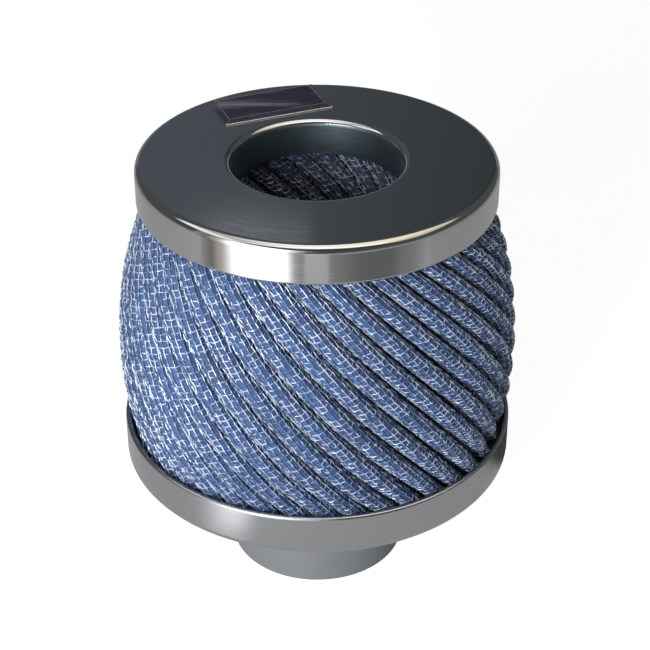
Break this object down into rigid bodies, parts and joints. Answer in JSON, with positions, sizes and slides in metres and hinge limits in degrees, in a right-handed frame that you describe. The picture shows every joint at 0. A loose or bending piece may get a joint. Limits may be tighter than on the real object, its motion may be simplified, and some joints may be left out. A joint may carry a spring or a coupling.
{
  "type": "cone air filter",
  "caption": "Cone air filter with a twisted, bulging pleated wall between a pressed cap and a base ring, an inverted pleated cone inside the cap's hole and a clamp-on neck below.",
  "frame": {"origin": "centre of the neck's mouth", "axes": "+Z along the filter's axis, up from the neck to the cap; -Y is the side seen in the picture"},
  "size_m": [0.1538, 0.1538, 0.1734],
  "materials": {
    "moulding": "smooth moulded, satin",
    "plated_steel": "polished plate",
    "potting": "poured, satin",
    "pleats": "blue gauze between bright woven wire",
    "badge": "polished",
    "inlay": "gloss, blank",
    "cup_steel": "drawn sheet"
  },
  "bodies": {
    "root": {"base_moulding": "moulding", "base_ring": "plated_steel", "base_potting": "potting", "pleated_wall": "pleats", "top_potting": "potting", "top_cap": "plated_steel", "badge_plate": "badge", "badge_inlay": "inlay", "cone_pleats": "pleats", "cone_potting": "potting", "cone_cup": "cup_steel"}
  },
  "joints": []
}
